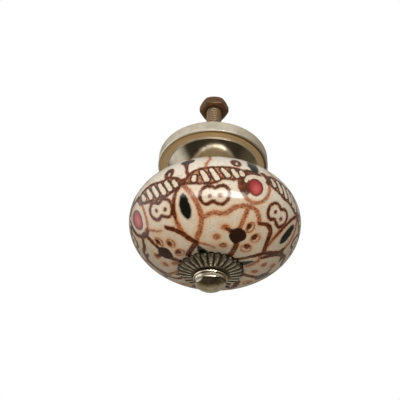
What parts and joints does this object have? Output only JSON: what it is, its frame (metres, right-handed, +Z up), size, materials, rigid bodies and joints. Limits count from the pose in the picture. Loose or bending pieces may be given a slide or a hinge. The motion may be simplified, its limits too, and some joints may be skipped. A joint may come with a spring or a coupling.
{
  "type": "cabinet knob",
  "caption": "Glazed ceramic cabinet knob with a turned metal collar, a fluted flower washer, a domed through bolt and a loose hex nut.",
  "frame": {"origin": "centre of the collar's mounting face, on the bolt's axis", "axes": "+Y along the bolt into the drawer front, -Y towards the user, +Z up, +X to the right seen from the user"},
  "size_m": [0.0379, 0.0574, 0.038],
  "materials": {
    "glaze": "glossy",
    "antique_metal": "darkened, ridges worn bright",
    "plated_steel": "polished",
    "turned_steel": "satin, polished on the cone",
    "browned_steel": "satin brown"
  },
  "bodies": {
    "knob": {"knob_body": "glaze", "petal_washer": "antique_metal", "through_bolt": "plated_steel", "base_collar": "turned_steel"},
    "nut": {"hex_nut": "browned_steel"}
  },
  "joints": [
    {"name": "nut_travel", "type": "slide", "parent": "knob", "child": "nut", "axis": [0, 1, 0], "range_m": [-0.0178, 0.0057]}
  ]
}
